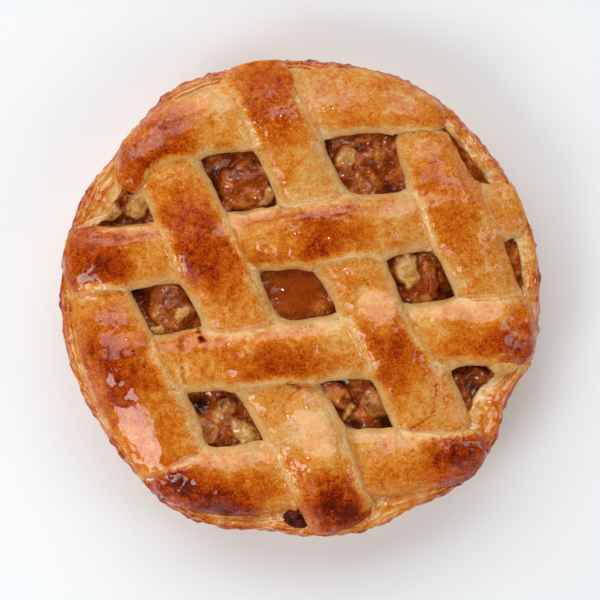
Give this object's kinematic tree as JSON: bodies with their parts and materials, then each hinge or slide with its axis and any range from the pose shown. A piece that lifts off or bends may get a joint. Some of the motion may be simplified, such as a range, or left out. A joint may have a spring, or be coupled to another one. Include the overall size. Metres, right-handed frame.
{
  "type": "apple pie",
  "caption": "Round raised apple pie with a woven lattice of wide glazed pastry strips over a dark apple filling.",
  "frame": {"origin": "centre of the pie's flat base, at the height it rests on", "axes": "+Z up out of the lattice; seen from above with +Y up, +X is to the right and the across strips run nearly along X"},
  "size_m": [0.2104, 0.2095, 0.0503],
  "materials": {
    "crust": "baked shortcrust, matt, rough",
    "lattice": "baked and glazed dough, golden to dark brown",
    "filling": "cooked apple in glossy brown sauce"
  },
  "bodies": {
    "root": {"crust": "crust", "filling": "filling", "strip_across_1": "lattice", "strip_across_2": "lattice", "strip_across_3": "lattice", "strip_across_4": "lattice", "strip_slant_1": "lattice", "strip_slant_2": "lattice", "strip_slant_3": "lattice", "strip_slant_4": "lattice"}
  },
  "joints": []
}
